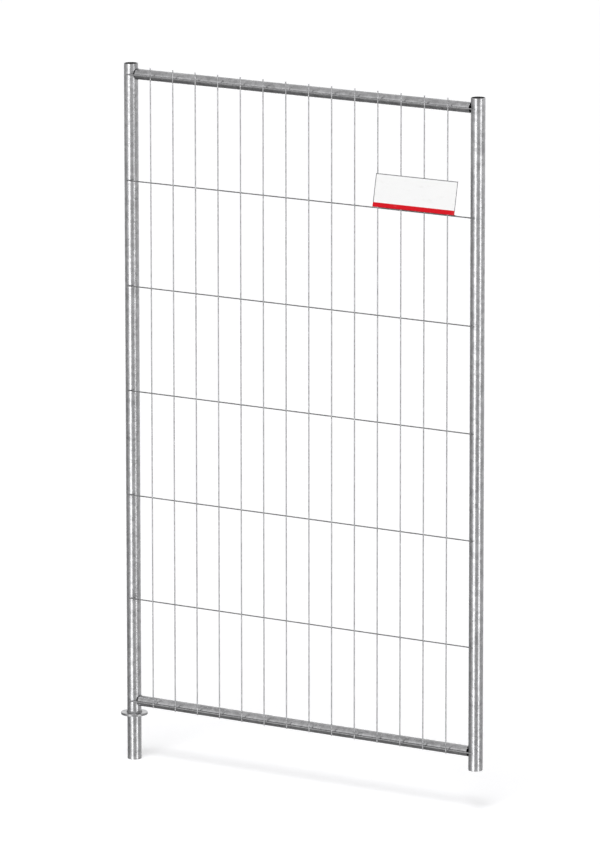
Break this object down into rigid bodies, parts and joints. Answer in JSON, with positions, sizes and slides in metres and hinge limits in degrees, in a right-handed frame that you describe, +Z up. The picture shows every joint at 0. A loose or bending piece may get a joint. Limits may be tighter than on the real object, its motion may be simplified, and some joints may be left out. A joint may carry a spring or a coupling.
{
  "type": "temporary fence gate",
  "caption": "Welded gate leaf for temporary site fencing: tube posts and rails with a wire mesh, standing and turning on a collar and spigot at the foot of its hinge post.",
  "frame": {"origin": "on the hinge post's axis at the underside of the collar, where the leaf stands on its foot", "axes": "+Z up along the hinge post, +X from the hinge post to the closing post, -Y to the front, the side of the mesh and the sign"},
  "size_m": [1.196, 0.0844, 2.0005],
  "materials": {
    "galvanised_tube": "hot-dip galvanised, mottled",
    "galvanised_wire": "galvanised wire, satin",
    "weld": "galvanised weld bead, dull",
    "spring_steel": "plain spring steel",
    "sign": "white gloss with a plain red band"
  },
  "bodies": {
    "collar": {"pivot_collar": "galvanised_tube"},
    "leaf": {"bottom_rail": "galvanised_tube", "closing_post": "galvanised_tube", "collar_snap_ring": "spring_steel", "cross_wire_1": "galvanised_wire", "cross_wire_2": "galvanised_wire", "cross_wire_3": "galvanised_wire", "cross_wire_4": "galvanised_wire", "cross_wire_5": "galvanised_wire", "cross_wire_6": "galvanised_wire", "cross_wire_7": "galvanised_wire", "hinge_post": "galvanised_tube", "rail_welds_closing": "weld", "rail_welds_hinge": "weld", "sign_clips": "spring_steel", "sign_plate": "sign", "thrust_bead": "weld", "top_rail": "galvanised_tube", "upright_wire_01": "galvanised_wire", "upright_wire_02": "galvanised_wire", "upright_wire_03": "galvanised_wire", "upright_wire_04": "galvanised_wire", "upright_wire_05": "galvanised_wire", "upright_wire_06": "galvanised_wire", "upright_wire_07": "galvanised_wire", "upright_wire_08": "galvanised_wire", "upright_wire_09": "galvanised_wire", "upright_wire_10": "galvanised_wire", "upright_wire_11": "galvanised_wire", "upright_wire_12": "galvanised_wire", "upright_wire_13": "galvanised_wire", "upright_wire_14": "galvanised_wire"}
  },
  "joints": [
    {"name": "leaf_swing", "type": "hinge", "parent": "collar", "child": "leaf", "pos_m": [0, 0, 0], "axis": [0, 0, 1], "continuous": true}
  ]
}
